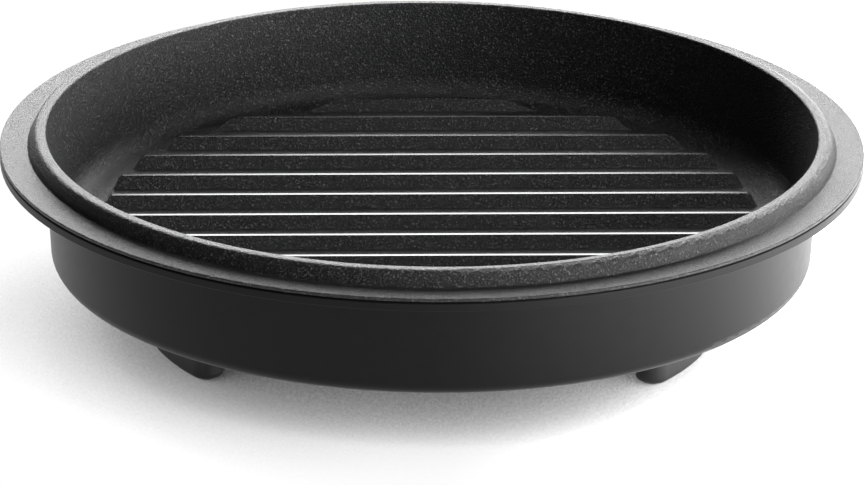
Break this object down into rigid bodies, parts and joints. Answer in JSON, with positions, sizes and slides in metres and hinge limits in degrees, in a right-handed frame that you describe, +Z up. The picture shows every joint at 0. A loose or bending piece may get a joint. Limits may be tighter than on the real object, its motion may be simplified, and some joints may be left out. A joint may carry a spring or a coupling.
{
  "type": "electric griddle",
  "caption": "Round countertop griddle: a coated, ribbed drop-in pan with a raised lid lip and wide flange, over a smooth heated base on arc-shaped feet with a rear power inlet.",
  "frame": {"origin": "on the table, under the middle of the round griddle", "axes": "+Z up; +X to the right, along the ribs; +Y to the rear, where the inlet is"},
  "size_m": [0.312, 0.312, 0.0741],
  "materials": {
    "pan_coating": "fine stippled black non-stick coating on cast aluminium",
    "base_paint": "smooth satin black heat-proof enamel on drawn steel",
    "plate_steel": "matt dark grey heat-proof paint on pressed steel",
    "foot_plastic": "smooth black moulded phenolic",
    "pad_rubber": "matt dark silicone rubber",
    "screw_steel": "zinc-plated steel",
    "element_sheath": "heat-darkened stainless sheath",
    "bead_ceramic": "glazed white ceramic",
    "pin_steel": "nickel-plated steel",
    "bracket_steel": "bright pressed steel",
    "reflector_metal": "bright rolled aluminised sheet",
    "sensor_metal": "satin drawn aluminium",
    "thermostat_ceramic": "matt steatite",
    "disc_bimetal": "satin bimetal strip",
    "pin_ceramic": "white ceramic rod",
    "spring_steel": "drawn stainless wire",
    "terminal_brass": "plated brass",
    "inlet_plastic": "black moulded thermoset",
    "grommet_rubber": "black rubber",
    "live_sleeve": "brown silicone wire insulation",
    "neutral_sleeve": "blue silicone wire insulation",
    "link_sleeve": "white braided glass sleeving",
    "earth_sleeve": "green and yellow silicone wire insulation"
  },
  "bodies": {
    "base": {"base_housing": "base_paint", "base_plate": "plate_steel", "base_plate_screws": "screw_steel", "earth_lead": "earth_sleeve", "earth_screw": "screw_steel", "earth_terminal": "terminal_brass", "element_cold_pins": "pin_steel", "element_end_beads": "bead_ceramic", "element_support_front": "bracket_steel", "element_support_left": "bracket_steel", "element_support_right": "bracket_steel", "foot_screws": "screw_steel", "front_left_foot": "foot_plastic", "front_left_foot_pad": "pad_rubber", "front_right_foot": "foot_plastic", "front_right_foot_pad": "pad_rubber", "fused_lead": "link_sleeve", "heating_element": "element_sheath", "inlet_housing": "inlet_plastic", "inlet_housing_screws": "screw_steel", "inlet_pins": "terminal_brass", "inlet_socket": "inlet_plastic", "inlet_socket_screws": "screw_steel", "live_lead": "live_sleeve", "neutral_lead": "neutral_sleeve", "rear_left_foot": "foot_plastic", "rear_left_foot_pad": "pad_rubber", "rear_right_foot": "foot_plastic", "rear_right_foot_pad": "pad_rubber", "reflector": "reflector_metal", "reflector_spacers": "bracket_steel", "support_screws": "screw_steel", "switched_lead": "link_sleeve", "thermal_fuse": "pin_steel", "thermostat_body": "thermostat_ceramic", "thermostat_screws": "screw_steel", "thermostat_tabs": "terminal_brass", "wire_grommet": "grommet_rubber"},
    "pan": {"griddle_pan": "pan_coating"},
    "sensor": {"sensor_cap": "sensor_metal", "bimetal_disc": "disc_bimetal", "push_pin": "pin_ceramic", "sensor_spring": "spring_steel"}
  },
  "joints": [
    {"name": "pan_lift", "type": "slide", "parent": "base", "child": "pan", "axis": [0, 0, 1], "range_m": [0, 0.06]},
    {"name": "sensor_travel", "type": "slide", "parent": "base", "child": "sensor", "axis": [0, 0, 1], "range_m": [0, 0.002], "stiffness_N_per_m": 300, "springref_m": 0.005, "deforming": ["sensor_spring"]}
  ],
  "couplings": [
    {"joint": "sensor_travel", "follows": "pan_lift", "ratio": 0.0333}
  ]
}
